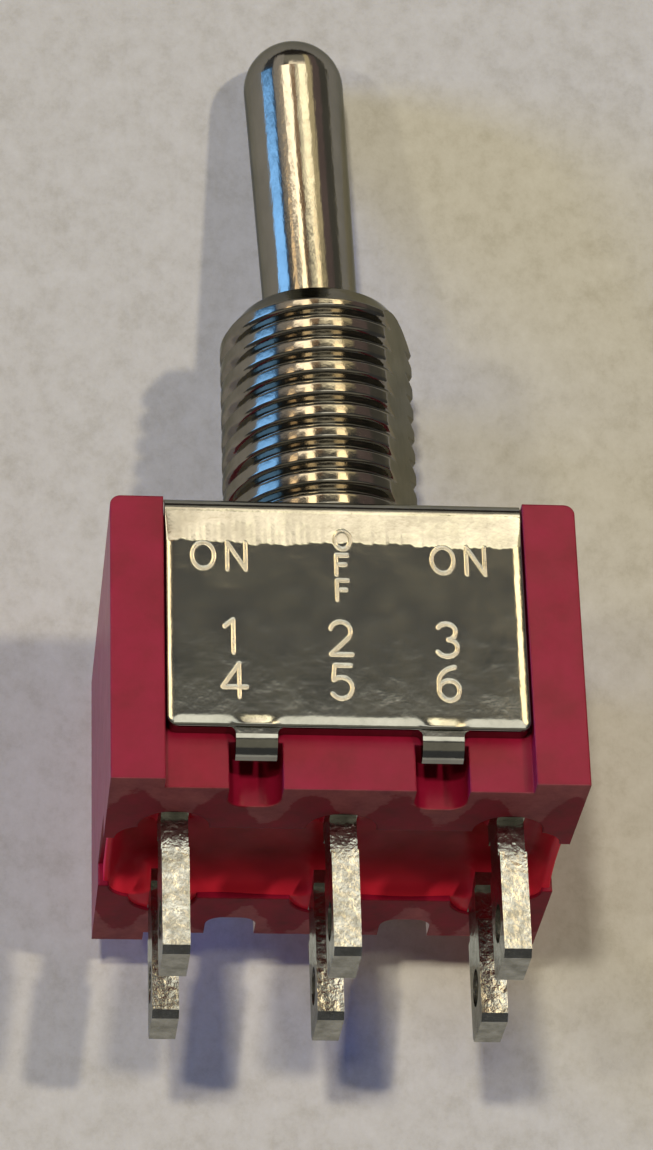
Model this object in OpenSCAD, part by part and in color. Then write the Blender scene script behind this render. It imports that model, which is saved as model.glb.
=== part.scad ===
// Miniature two-pole toggle switch, ON-OFF-ON, with solder lugs.
// +Z runs up the threaded bushing, X is the way the lever is thrown, and -Y is the front.
// The origin is on the bushing's axis, on the frame's top face, where a panel seats.
// Every size is in millimetres and every angle in degrees.

/* [Case] */
// Length of the moulded case, along the throw of the lever
case_w = 13.2; // [12.8:0.1:14.5]
// Depth of the case, from the front flange to the rear one
case_d = 11.4; // [11.0:0.1:12.6]
// Height from the frame's top face down to the rim of the case
case_h = 8.9; // [8.7:0.1:10]
// Thickness of the two end walls, which stand up past the frame
end_wall = 1.5; // [1.3:0.05:1.8]
// Step from the frame's top face down to the top of the end walls
end_drop = 0.15; // [0.05:0.05:0.3]
// Step from the case's front face back to the outer face of the flange
flange_inset = 0.1; // [0.05:0.05:0.3]
// Depth of the chamber for the contacts, across the two poles
chamber_d = 8.2; // [8:0.1:8.6]
// Height of the chamber's floor over the rim of the case
floor_rise = 1.8; // [1.5:0.05:2]
// Thickness of the floor between the chamber and the trough
floor_t = 0.5; // [0.4:0.05:0.8]
// Width of the trough under the floor, which the sealing epoxy fills
trough_d = 5; // [4.4:0.1:5.4]
// Radius of the pocket that the trough has around each lug
pocket_r = 1; // [0.95:0.05:1.2]
// Height of the epoxy in the trough
epoxy_t = 0.35; // [0.2:0.05:0.6]
// Thickness of the rib between the two poles
rib_t = 0.8; // [0.5:0.1:1.2]

/* [Frame] */
// Thickness of the steel sheet
sheet_t = 0.45; // [0.3:0.05:0.6]
// Height of the flange on each side
flange_h = 7.25; // [6.6:0.05:7.5]
// Width of the tabs that are clinched under the case
tab_w = 1.15; // [0.8:0.05:1.4]
// Distance from the middle to each tab
tab_x = 2.58; // [2:0.02:3]

/* [Bushing] */
// Major diameter of the thread
bushing_d = 5.9; // [5.8:0.05:6.4]
// Height of the bushing over the frame
bushing_h = 8.95; // [8:0.05:10]
// Pitch of the thread
thread_pitch = 0.75; // [0.7:0.05:0.8]
// Width of the flat crest that rolling and plating leave on the thread
thread_crest = 0.38; // [0.32:0.02:0.48]
// Thickness of the bushing's wall, from the bore to the crest of the thread
bushing_wall = 0.63; // [0.55:0.02:0.79]
// Depth of the flat land along the thread, below its crest
land_depth = 0.36; // [0.06:0.02:0.36]
// Direction of the land, turned from the front towards the right
land_turn = 67; // [0:1:90]

/* [Lever] */
// Height of the lever's tip over the bushing
lever_reach = 10.3; // [8:0.1:13]
// Diameter of the bat at its round end
tip_d = 3.14; // [2.9:0.02:3.2]
// Taper of the bat: how much thinner it is where it leaves the bushing
bat_taper = 0.26; // [0:0.02:0.4]
// Depth of the ball's centre below the top of the bushing
ball_drop = 2.9; // [2.6:0.1:3]
// Lean of the lever where it stands in the middle position, to the right
rest_lean = -2.4; // [-3:0.1:3]

/* [Mechanism] */
// Throw of the lever each way from upright
throw_deg = 12.5; // [10:0.5:13]
// Tilt of a rocker each way when its contact is closed
rocker_tilt = 8; // [6:0.5:9]
// Distance between the rows of lugs, front to rear
row_pitch = 4.8; // [4.7:0.1:5]
// Distance between the lugs of one row
lug_pitch = 4.7; // [4.6:0.05:4.8]
// Radius of a plunger and of its round nose
plunger_r = 0.9; // [0.8:0.02:0.94]
// Stroke that a plunger can be pushed in by
plunger_stroke = 0.4; // [0.2:0.05:0.45]
// Thickness of a rocker's strip
rocker_t = 0.35; // [0.25:0.05:0.4]
// Width of a rocker's strip
rocker_w = 2.2; // [2:0.05:2.3]

/* [Terminals] */
// Thickness of the terminal strip
lug_t = 0.76; // [0.6:0.02:0.8]
// Width of a lug
lug_w = 2; // [1.8:0.05:2.1]
// Length of a lug below the rim of the case
lug_reach = 4.1; // [3:0.1:6]
// Diameter of the wire hole in a lug
lug_hole_d = 1.1; // [0.8:0.05:1.3]
// Radius of a silver contact's head
contact_r = 0.6; // [0.4:0.05:0.65]

/* [Hidden] */
$fn = 48;

front = -1;
rear = 1;
left = -1;
right = 1;
cut = 0.5;            // how far a cutting solid runs past the face it cuts
seat_gap = 0.02;      // gap between pieces that are pressed or set together
run_gap = 0.03;       // gap between pieces that slide or turn on each other
swing_gap = 0.1;      // room round the lever at the full throw
merge = 0.01;         // overlap that joins two cuts or two solids of one piece

// Frame and case
flange_face = case_d / 2 - flange_inset;
flange_back = flange_face - sheet_t;
wall_face = flange_back - seat_gap;
bay_w = case_w - 2 * end_wall;
frame_w = bay_w - 4 * seat_gap;
corner_r = 0.3;       // outer corners of the case
bend_r = 0.5;         // outer radius of the frame's bends
foot_r = 0.3;         // lower corners of the flanges
ledge = 0.15;         // step that is left inside each end wall
floor_z = floor_rise - case_h;
trough_z = floor_z - floor_t;
trough_r = 0.8;       // corners of the trough
pocket_gap = 0.15;    // room between a lug and the end of its pocket
end_lip = 0.3;        // end wall that is left beside the trough
lip_notch = 3.4;      // width of the notch through that lip
lip_drop = 0.25;      // roof of that notch, below the face of the epoxy
epoxy_z = trough_z - epoxy_t;
notch_side = 0.17;    // room beside a tab in its notch
notch_w = tab_w + 2 * notch_side;
notch_depth = 1.2;
notch_r = 0.5;        // rounded back corners of a notch
tab_inner_r = 0.15;   // inner radius of a clinched tab
tab_drop = 0.2;       // straight part of a tab
tab_sweep = 80;       // angle that a tab is bent through
tab_clearance = sqrt(pow(tab_inner_r, 2) - pow(tab_inner_r - seat_gap, 2));
notch_z = -flange_h - tab_drop - tab_clearance + seat_gap;

// Bushing: the bore sets how thick the ball and the bat can be
thread_r = bushing_d / 2;
bore_r = thread_r - bushing_wall;
mouth_r = bore_r - 0.1;
lip_chamfer = 0.55;   // how far the top of the bushing is chamfered in
lip_h = 0.72;         // height of that chamfer
thread_flank = 30;    // angle from each flank of the thread to a plane across the axis
thread_root = 0.05;   // flat at the bottom of the thread
thread_depth = (thread_pitch - thread_crest - thread_root) / 2 / tan(thread_flank);
thread_foot = 0.1;    // plain part below the first groove
pivot_z = bushing_h - ball_drop;
neck_r = (mouth_r - swing_gap - ball_drop * tan(throw_deg)) * cos(throw_deg);
throat_r = neck_r + 0.34;
ball_r = bore_r - 0.27;
seat_r = ball_r + run_gap;
throat_z = pivot_z + sqrt(pow(seat_r, 2) - pow(throat_r, 2));
spigot_r = bore_r + 0.28;
clinch_r = spigot_r + 0.55;
clinch_t = 0.3;
seat_sink = 0.05;     // how deep the bushing's shoulder is pressed into the frame
bell_r = bore_r + 0.15;
bell_h = 2.75;        // height that the bore widens over, from its foot
bushing_foot_z = -sheet_t - clinch_t;
shank_r = 0.7;
shank_root_r = 1.1;
shank_taper_h = 1.5;  // how far the root of the shank tapers below the ball

// Contact mechanism, as it stands with the lever upright
row_y = row_pitch / 2;
rocker_rise = 2.5;    // height of the rockers' axis over the floor
nose_z = floor_z + rocker_rise;
nose_reach = pivot_z - nose_z;
nose_gap = 0.08;      // gap between a plunger's nose and the dip
rocker_top_r = plunger_r + nose_gap;
rocker_under_r = rocker_top_r + rocker_t;
saddle_z = nose_z - rocker_under_r - seat_gap;
coupling = rocker_tilt / throw_deg;
rocker_lean = -rest_lean * coupling;
contact_inset = 0.95; // from a lug's middle in to its contact
contact_x = lug_pitch - contact_inset;
contact_dome = 0.1;
rocker_reach = contact_x + 0.4;
waist_w = 1.3;
waist_l = 1.36;
head_w = lug_w + 0.4;
ear_h = 0.6;
fold_r = 0.6;         // outer radius of the fold in an end terminal

// Carrier and plungers
barrel_wall = 0.4;
barrel_r = plunger_r + barrel_wall;
barrel_bore_r = plunger_r + run_gap;
web_w = 2 * plunger_r + 0.3;
carrier_spread = 10;  // angle from the ball out to the carrier's upper corners
carrier_gap = 0.23;   // gap between those corners and the bushing's foot at full throw
carrier_top_r = (pivot_z - bushing_foot_z + carrier_gap) / cos(throw_deg + carrier_spread);
carrier_foot_z = nose_z - 0.3;
guide_l = 1;          // length of a plunger from its nose's middle to its shoulder
shoulder_z = nose_z + guide_l;
spring_l = 1.4;
barrel_top_z = shoulder_z + spring_l;
socket_z = shoulder_z + 0.3;
stem_r = 0.35;
stem_l = 0.6;
spring_wire = 0.16;
spring_r = 0.6;
spring_turns = 4;

// Lugs
lug_foot_z = -case_h - lug_reach;
neck_top_z = 0.05 - case_h;
neck_h = 1.05;
neck_depth = 0.3;
nip = 0.2;            // corners cut off the end of a lug
hole_margin = 0.35;   // strip left between the wire hole's square and the lug's end

// Flat outline with square lower corners and round upper ones, standing on y = 0.
module arched_block(w, h, r) {
  union() {
    translate([-w / 2, 0]) square([w, h - r]);
    translate([-w / 2 + r, 0]) square([w - 2 * r, h]);
    for (side = [left, right])
      translate([side * (w / 2 - r), h - r]) circle(r);
  }
}

// Rectangle centred on the origin, with round corners.
module round_rect(w, d, r) {
  union() {
    square([w - 2 * r, d], center = true);
    square([w, d - 2 * r], center = true);
    for (x = [left, right], y = [front, rear])
      translate([x * (w / 2 - r), y * (d / 2 - r)]) circle(r);
  }
}

// Stands an outline drawn in X and Z upright and gives it a depth along Y.
module along_y(depth) {
  rotate([90, 0, 0]) linear_extrude(depth, center = true) children();
}

// Stands an outline drawn in Y and Z upright and gives it a width along X.
module along_x(width) {
  rotate([90, 0, 90]) linear_extrude(width, center = true) children();
}

// Turns its children about the lever's ball, from upright to where the lever stands.
module leaning() {
  translate([0, 0, pivot_z]) rotate([0, rest_lean, 0]) translate([0, 0, -pivot_z]) children();
}

// Outline of the trough, with a pocket around each lug; grow is added all round.
module trough_outline(grow = 0) {
  union() {
    round_rect(case_w - 2 * end_lip + 2 * grow, trough_d + 2 * grow, trough_r);
    for (x = [-1 : 1], y = [front, rear])
      translate([x * lug_pitch, y * (row_y + lug_w / 2 - pocket_r + pocket_gap)])
        circle(pocket_r + grow);
  }
}

// Arch that a notch makes in the underside: its mouth lies along X, and it runs back along +Y.
module notch_outline() {
  translate([-notch_w / 2, -cut]) square([notch_w, notch_depth - notch_r + cut]);
  for (side = [left, right])
    translate([side * (notch_w / 2 - notch_r), notch_depth - notch_r]) circle(notch_r);
  translate([-notch_w / 2 + notch_r, 0]) square([notch_w - 2 * notch_r, notch_depth]);
}

// Cuts for the six terminals through a floor; gap is left on each side of a strip.
module lug_slots(z, height, gap) {
  for (x = [-1 : 1], y = [front, rear])
    translate([x * lug_pitch - lug_t / 2 - gap, y * row_y - lug_w / 2 - gap, z])
      cube([lug_t + 2 * gap, lug_w + 2 * gap, height]);
}

module case() {
  chamber_w = bay_w - 2 * ledge;
  color([0.72, 0.10, 0.18]) difference() {
    translate([0, 0, -case_h]) along_y(case_d) arched_block(case_w, case_h - end_drop, corner_r);
    // Bay between the end walls that the folded frame drops into
    translate([-bay_w / 2, -case_d / 2 - cut, -sheet_t]) cube([bay_w, case_d + 2 * cut, sheet_t + cut]);
    for (side = [front, rear])
      translate([-bay_w / 2, side > 0 ? wall_face : -wall_face - case_d, -case_h - cut])
        cube([bay_w, case_d, case_h + 2 * cut]);
    // Chamber for the contacts, with the grooves that guide the end terminals
    difference() {
      union() {
        translate([-chamber_w / 2, -chamber_d / 2, floor_z]) cube([chamber_w, chamber_d, case_h]);
        for (y = [front, rear])
          translate([-lug_pitch - lug_t / 2 - seat_gap, y * row_y - lug_w / 2 - seat_gap, floor_z])
            cube([2 * lug_pitch + lug_t + 2 * seat_gap, lug_w + 2 * seat_gap, case_h]);
      }
      translate([-case_w / 2, -rib_t / 2, floor_z - cut])
        cube([case_w, rib_t, saddle_z + ear_h - floor_z + cut]);
    }
    // Trough below the floor, and the notch through the lip at each end of it
    translate([0, 0, -case_h - cut]) linear_extrude(case_h + cut + trough_z) trough_outline();
    translate([-case_w / 2 - cut, -lip_notch / 2, -case_h - cut])
      cube([case_w + 2 * cut, lip_notch, case_h + cut + epoxy_z - lip_drop]);
    lug_slots(trough_z - cut, floor_t + 2 * cut, seat_gap);
    // Notches that the frame's tabs are clinched into
    for (x = [left, right], turn = [0, 180])
      rotate([0, 0, turn]) translate([x * tab_x, -wall_face, -case_h - cut])
        linear_extrude(case_h + notch_z + cut) notch_outline();
  }
}

module epoxy_seal() {
  color([0.60, 0.06, 0.09]) difference() {
    translate([0, 0, epoxy_z]) linear_extrude(epoxy_t) trough_outline(-seat_gap);
    lug_slots(epoxy_z - cut, epoxy_t + 2 * cut, seat_gap);
  }
}

// Section of the folded sheet, in Y and Z: a plate with a flange down each side.
module frame_section() {
  difference() {
    union() {
      translate([-flange_face, -flange_h]) square([2 * flange_face, flange_h - bend_r]);
      translate([-flange_face + bend_r, -bend_r]) square([2 * (flange_face - bend_r), bend_r]);
      for (side = [left, right])
        translate([side * (flange_face - bend_r), -bend_r]) circle(bend_r);
    }
    translate([-flange_back, -flange_h - cut]) square([2 * flange_back, flange_h - sheet_t + cut]);
  }
}

// Section of a tab: straight down from the rear flange, then curled in under the case.
module tab_section() {
  outer_r = tab_inner_r + sheet_t;
  centre_y = flange_back - tab_inner_r;
  centre_z = -flange_h - tab_drop;
  translate([flange_back, centre_z]) square([sheet_t, tab_drop + merge]);
  translate([centre_y, centre_z]) difference() {
    circle(outer_r);
    circle(tab_inner_r);
    translate([-outer_r, 0]) square([2 * outer_r, outer_r]);
    rotate(90 - tab_sweep) translate([-outer_r, -outer_r]) square([outer_r, 2 * outer_r]);
  }
}

// Fillet in the corner between a flange's lower edge and a tab, as deep as the sheet is thick.
module tab_fillet() {
  translate([tab_w / 2, 0, 0]) along_y(sheet_t) difference() {
    translate([-merge, -tab_drop]) square(tab_drop + merge);
    translate([tab_drop, -tab_drop]) circle(tab_drop);
  }
}

module frame() {
  color([0.66, 0.66, 0.62]) difference() {
    union() {
      difference() {
        along_x(frame_w) frame_section();
        // Round lower corners on both flanges
        for (side = [left, right])
          translate([side * (frame_w / 2 - foot_r), 0, -flange_h + foot_r])
            along_y(case_d) difference() {
              translate([side > 0 ? 0 : -2 * foot_r, -2 * foot_r]) square(2 * foot_r);
              circle(foot_r);
            }
      }
      for (x = [left, right], turn = [0, 180])
        rotate([0, 0, turn]) translate([x * tab_x, 0, 0]) {
          along_x(tab_w) tab_section();
          for (side = [0, 180])
            translate([0, flange_face - sheet_t / 2, -flange_h]) rotate([0, 0, side]) tab_fillet();
        }
    }
    translate([0, 0, -sheet_t - cut]) cylinder(h = sheet_t + 2 * cut, r = spigot_r + seat_gap);
    translate([0, 0, -seat_sink]) cylinder(h = cut, r = thread_r + seat_gap);
  }
}

// Groove of the thread: a V with a flat bottom, turned about the axis. Each turn is a ring of its own.
module thread_groove() {
  past = thread_root;
  root_r = thread_r - thread_depth;
  half_root = thread_root / 2;
  half_mouth = half_root + (thread_depth + past) * tan(thread_flank);
  rotate_extrude()
    polygon([[root_r, -half_root], [thread_r + past, -half_mouth],
             [thread_r + past, half_mouth], [root_r, half_root]]);
}

// The bore holds the ball from below and opens out above it, so that the lever can be thrown.
module bushing() {
  groove_w = thread_pitch - thread_crest;
  color([0.70, 0.69, 0.64]) rotate([0, 0, land_turn - 90]) difference() {
    union() {
      translate([0, 0, -seat_sink]) cylinder(h = bushing_h + seat_sink - lip_h, r = thread_r);
      translate([0, 0, bushing_h - lip_h])
        cylinder(h = lip_h, r1 = thread_r, r2 = thread_r - lip_chamfer);
      translate([0, 0, -sheet_t]) cylinder(h = sheet_t, r = spigot_r);
      translate([0, 0, bushing_foot_z]) cylinder(h = clinch_t, r = clinch_r);
    }
    translate([0, 0, bushing_foot_z - cut]) cylinder(h = pivot_z - bushing_foot_z + cut, r = bore_r);
    translate([0, 0, bushing_foot_z - merge]) cylinder(h = bell_h, r1 = bell_r, r2 = bore_r);
    intersection() {
      translate([0, 0, pivot_z]) sphere(seat_r);
      translate([0, 0, pivot_z - merge]) cylinder(h = throat_z - pivot_z + 2 * merge, r = seat_r + cut);
    }
    translate([0, 0, throat_z])
      cylinder(h = bushing_h - throat_z + merge, r1 = throat_r, r2 = mouth_r);
    for (z = [thread_foot + groove_w / 2 : thread_pitch : bushing_h - lip_h])
      translate([0, 0, z]) thread_groove();
    // Land along the whole thread, down past its shoulder
    translate([thread_r - land_depth, -thread_r, -sheet_t / 2])
      cube([bushing_d, bushing_d, bushing_h + sheet_t / 2 + cut]);
  }
}

module lever() {
  tip_z = bushing_h + lever_reach - tip_d / 2;
  base_r = tip_d / 2 - bat_taper / 2;
  color([0.74, 0.73, 0.70]) leaning() union() {
    translate([0, 0, tip_z]) sphere(tip_d / 2);
    translate([0, 0, bushing_h]) cylinder(h = tip_z - bushing_h, r1 = base_r, r2 = tip_d / 2);
    translate([0, 0, pivot_z]) cylinder(h = ball_drop, r = base_r);
    translate([0, 0, pivot_z]) sphere(ball_r);
    translate([0, 0, pivot_z - ball_r - shank_taper_h])
      cylinder(h = ball_r + shank_taper_h, r1 = shank_r, r2 = shank_root_r);
    translate([0, 0, socket_z]) cylinder(h = pivot_z - socket_z, r = shank_r);
  }
}

// Nylon block on the foot of the lever. Its top is round about the ball, so it clears the frame.
module carrier() {
  height = pivot_z - carrier_foot_z;
  color([0.90, 0.88, 0.80]) leaning() difference() {
    intersection() {
      union() {
        for (y = [front, rear])
          translate([0, y * row_y, carrier_foot_z]) cylinder(h = height, r = barrel_r);
        translate([-web_w / 2, -row_y, carrier_foot_z]) cube([web_w, row_pitch, height]);
      }
      translate([0, 0, pivot_z]) rotate([90, 0, 0]) difference() {
        cylinder(h = case_d, r = nose_reach + plunger_r, center = true);
        cylinder(h = case_d + cut, r = carrier_top_r, center = true);
      }
    }
    for (y = [front, rear])
      translate([0, y * row_y, carrier_foot_z - cut])
        cylinder(h = barrel_top_z - carrier_foot_z + cut, r = barrel_bore_r);
    translate([0, 0, socket_z - seat_gap]) cylinder(h = height, r = shank_r + seat_gap);
  }
}

module plunger(row) {
  color([0.93, 0.92, 0.88]) leaning() translate([0, row * row_y, 0]) union() {
    translate([0, 0, nose_z]) sphere(plunger_r);
    translate([0, 0, nose_z]) cylinder(h = shoulder_z - nose_z, r = plunger_r);
    translate([0, 0, shoulder_z - merge]) cylinder(h = stem_l + merge, r = stem_r);
  }
}

module plunger_spring(row) {
  sides = 8;
  steps = 16 * (spring_turns + 1);
  turn = 360 * (spring_turns + 1);
  low = shoulder_z + spring_wire / 2 + seat_gap;
  high = barrel_top_z - spring_wire / 2 - seat_gap;
  points = [
    for (i = [0 : steps], j = [0 : sides - 1])
      let (a = turn * i / steps)
      let (r = spring_r + spring_wire / 2 * cos(360 * j / sides))
      [r * cos(a), r * sin(a), low + (high - low) * i / steps + spring_wire / 2 * sin(360 * j / sides)]
  ];
  walls = [
    for (i = [0 : steps - 1], j = [0 : sides - 1])
      let (k = (j + 1) % sides)
      [i * sides + j, i * sides + k, (i + 1) * sides + k, (i + 1) * sides + j]
  ];
  ends = [
    [for (j = [sides - 1 : -1 : 0]) j],
    [for (j = [0 : sides - 1]) steps * sides + j]
  ];
  color([0.62, 0.63, 0.65]) leaning() translate([0, row * row_y, 0])
    polyhedron(points = points, faces = concat(walls, ends), convexity = 10);
}

// Silver-plated strip with two wings that rise from a round dip, which rolls on the saddle.
module rocker(row) {
  dip = rocker_tilt + 0.3;
  reach = 2 * rocker_under_r;
  color([0.80, 0.80, 0.78]) translate([0, row * row_y, nose_z]) rotate([0, rocker_lean, 0]) difference() {
    along_y(rocker_w) union() {
      intersection() {
        difference() {
          circle(rocker_under_r);
          circle(rocker_top_r);
        }
        polygon([[0, 0], reach * [-sin(dip), -cos(dip)], reach * [sin(dip), -cos(dip)]]);
      }
      for (side = [left, right])
        rotate(side * rocker_tilt)
          translate([side > 0 ? 0 : -rocker_reach, -rocker_under_r]) square([rocker_reach, rocker_t]);
    }
    for (side = [front, rear])
      translate([-waist_l / 2, side > 0 ? waist_w / 2 : -waist_w / 2 - rocker_w, -2 * rocker_under_r])
        cube([waist_l, rocker_w, 2 * rocker_under_r]);
  }
}

// Outline of a lug below the floor, in Y and Z: shoulder, neck, then the blade with its wire hole.
module lug_outline() {
  difference() {
    translate([-lug_w / 2, lug_foot_z]) square([lug_w, floor_z - lug_foot_z]);
    for (side = [left, right]) {
      translate([side * lug_w / 2, neck_top_z - neck_h / 2]) square([2 * neck_depth, neck_h], center = true);
      translate([side * lug_w / 2, lug_foot_z]) rotate(45) square(nip * sqrt(2), center = true);
    }
    translate([0, lug_foot_z + lug_w / 2 + hole_margin]) circle(d = lug_hole_d);
  }
}

// Straight strip with a flat saddle at its top, between two ears that keep the rocker in place.
module common_terminal(row) {
  ear_top = saddle_z + ear_h;
  recess_w = waist_w + 2 * run_gap;
  color([0.78, 0.78, 0.75]) translate([0, row * row_y, 0]) difference() {
    union() {
      along_x(lug_t) lug_outline();
      translate([-lug_t / 2, -head_w / 2, floor_z]) cube([lug_t, head_w, ear_top - floor_z]);
    }
    translate([-lug_t, -recess_w / 2, saddle_z]) cube([2 * lug_t, recess_w, nose_z - saddle_z]);
  }
}

// Strip that passes up through the floor and is folded inwards over it, to carry a contact.
module end_terminal(side, row) {
  head_z = floor_z + lug_t;
  head_l = lug_pitch + lug_t / 2 - contact_x + contact_r;
  color([0.78, 0.78, 0.75]) translate([side * lug_pitch, row * row_y, 0]) mirror([side > 0 ? 0 : 1, 0, 0])
    difference() {
      union() {
        along_x(lug_t) lug_outline();
        along_y(lug_w) difference() {
          translate([lug_t / 2 - head_l, floor_z]) square([head_l, lug_t]);
          translate([lug_t / 2 - fold_r, head_z - fold_r]) difference() {
            square(2 * fold_r);
            circle(fold_r);
          }
        }
      }
      translate([contact_x - lug_pitch, 0, floor_z - cut]) cylinder(h = 2 * lug_t, r = contact_r / 2 + seat_gap);
    }
}

module contact(side, row) {
  flat_z = saddle_z - contact_dome;
  head_z = floor_z + lug_t;
  color([0.88, 0.88, 0.86]) translate([side * contact_x, row * row_y, 0]) union() {
    translate([0, 0, floor_z]) cylinder(h = flat_z - floor_z, r = contact_r / 2);
    translate([0, 0, head_z]) cylinder(h = flat_z - head_z, r = contact_r);
    translate([0, 0, flat_z]) cylinder(h = contact_dome, r1 = contact_r, r2 = contact_r - 2 * contact_dome);
  }
}

case();
epoxy_seal();
frame();
bushing();
lever();
carrier();
plunger(front);  // plunger_front
plunger(rear);  // plunger_rear
plunger_spring(front);  // plunger_spring_front
plunger_spring(rear);  // plunger_spring_rear
rocker(front);  // rocker_front
rocker(rear);  // rocker_rear
common_terminal(front);  // common_terminal_front
common_terminal(rear);  // common_terminal_rear
end_terminal(left, front);  // end_terminal_left_front
end_terminal(right, front);  // end_terminal_right_front
end_terminal(left, rear);  // end_terminal_left_rear
end_terminal(right, rear);  // end_terminal_right_rear
contact(left, front);  // contact_left_front
contact(right, front);  // contact_right_front
contact(left, rear);  // contact_left_rear
contact(right, rear);  // contact_right_rear
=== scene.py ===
"""Looks of a miniature toggle switch: three positions, two poles, threaded bushing, six solder lugs."""

import math
import bpy
import numpy as np
from mathutils import Matrix, Vector


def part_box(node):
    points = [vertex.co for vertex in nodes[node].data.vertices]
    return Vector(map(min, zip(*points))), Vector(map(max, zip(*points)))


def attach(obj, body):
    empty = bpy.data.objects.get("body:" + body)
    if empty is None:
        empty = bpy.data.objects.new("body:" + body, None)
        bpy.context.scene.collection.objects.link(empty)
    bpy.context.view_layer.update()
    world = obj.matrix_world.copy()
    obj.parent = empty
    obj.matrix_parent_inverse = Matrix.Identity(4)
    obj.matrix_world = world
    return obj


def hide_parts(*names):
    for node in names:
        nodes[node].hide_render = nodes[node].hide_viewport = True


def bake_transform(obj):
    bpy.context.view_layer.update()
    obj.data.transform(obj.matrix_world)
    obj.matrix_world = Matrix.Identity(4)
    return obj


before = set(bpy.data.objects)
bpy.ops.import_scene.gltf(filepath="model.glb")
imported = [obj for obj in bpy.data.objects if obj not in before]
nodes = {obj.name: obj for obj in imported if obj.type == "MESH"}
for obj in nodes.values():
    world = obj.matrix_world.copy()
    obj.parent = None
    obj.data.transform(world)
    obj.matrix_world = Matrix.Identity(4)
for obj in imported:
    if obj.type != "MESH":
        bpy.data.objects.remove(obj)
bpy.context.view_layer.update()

MM = 0.001



def in_mm(box):
    """Low and high corners of a box given in metres, in millimetres."""
    return [np.array(corner) / MM for corner in box]


# Sizes of the model, read from the frame's own boxes.
frame_lo, frame_hi = in_mm(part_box("frame"))
bushing_hi = in_mm(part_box("bushing"))[1]
case_hi = in_mm(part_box("case"))[1]
epoxy_lo, epoxy_hi = in_mm(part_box("epoxy_seal"))

# Further than anything on the pieces, in millimetres.
FAR = 9.0


# ---------------------------------------------------------------- shapes


def mesh_piece(name, points, faces, material, smooth=True):
    """Makes a piece from an (n, 3) array of points in millimetres and a list of faces."""
    mesh = bpy.data.meshes.new(name)
    mesh.from_pydata((points * MM).tolist(), [], faces)
    mesh.polygons.foreach_set("use_smooth", np.full(len(mesh.polygons), smooth))
    mesh.materials.append(material)
    mesh.update()
    piece = bpy.data.objects.new(name, mesh)
    bpy.context.scene.collection.objects.link(piece)
    return piece


def grid_faces(rows, columns, wrap_rows=False, wrap_columns=False):
    """Quads of a rows x columns grid of points; a wrapped direction joins its last line to its first."""
    last_row = rows if wrap_rows else rows - 1
    last_column = columns if wrap_columns else columns - 1
    i, j = np.meshgrid(np.arange(last_row), np.arange(last_column), indexing="ij")
    i, j = i.ravel(), j.ravel()
    below, beside = (i + 1) % rows, (j + 1) % columns
    return np.stack([i * columns + j, below * columns + j, below * columns + beside, i * columns + beside], 1)


def smooth_step(x):
    """0 below 0, 1 above 1, and 3x^2 - 2x^3 between."""
    x = np.clip(x, 0, 1)
    return x * x * (3 - 2 * x)


def resample(corners, step):
    """Points along a polyline, no further apart than step, with its corners kept."""
    out = []
    for a, b in zip(corners[:-1], corners[1:]):
        count = max(1, int(math.ceil(math.dist(a, b) / step)))
        t = np.arange(count)[:, None] / count
        out.append(np.array(a) + t * (np.array(b) - np.array(a)))
    return np.concatenate(out + [np.array(corners[-1:])])


# Sizes of the thread and of the bushing's inside, in millimetres, as the solid has them.
MAJOR_R = 2.95
PITCH, DEPTH = 0.75, 0.277
CREST_FLAT, FLANK = 0.15, 0.24
CROWN = 0.0015
FIRST_GROOVE = 0.285
THREAD_START = math.radians(-98)
LAND, LAND_ANGLE = MAJOR_R - 0.36, math.radians(-23)
CHAMFER_IN, CHAMFER_H = 0.55, 0.72
BORE_R, MOUTH_R, THROAT_R, SEAT_R = 2.32, 2.22, 1.782, 2.08
PIVOT_Z = 6.05
# Its foot: the shoulder on the frame, the spigot through it, the clinched rim below it, and the bore's flare.
SHOULDER_Z, SPIGOT_R = -0.05, 2.6
CLINCH_R, CLINCH_TOP, CLINCH_FOOT = 3.15, -0.45, -0.75
FLARE, FLARE_TOP = 0.15, 2.0
# Where the thread starts over the shoulder and ends past the chamfer's foot, and the height it fades over.
RUN_IN, RUN_IN_OVER = 0.04, 0.14
RUN_OUT, RUN_OUT_OVER = 0.3, 0.25
# Rows of points to a turn of the thread, and their distance on the chamfer in millimetres.
ROWS_A_TURN, CHAMFER_STEP = 23, 0.04


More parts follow.
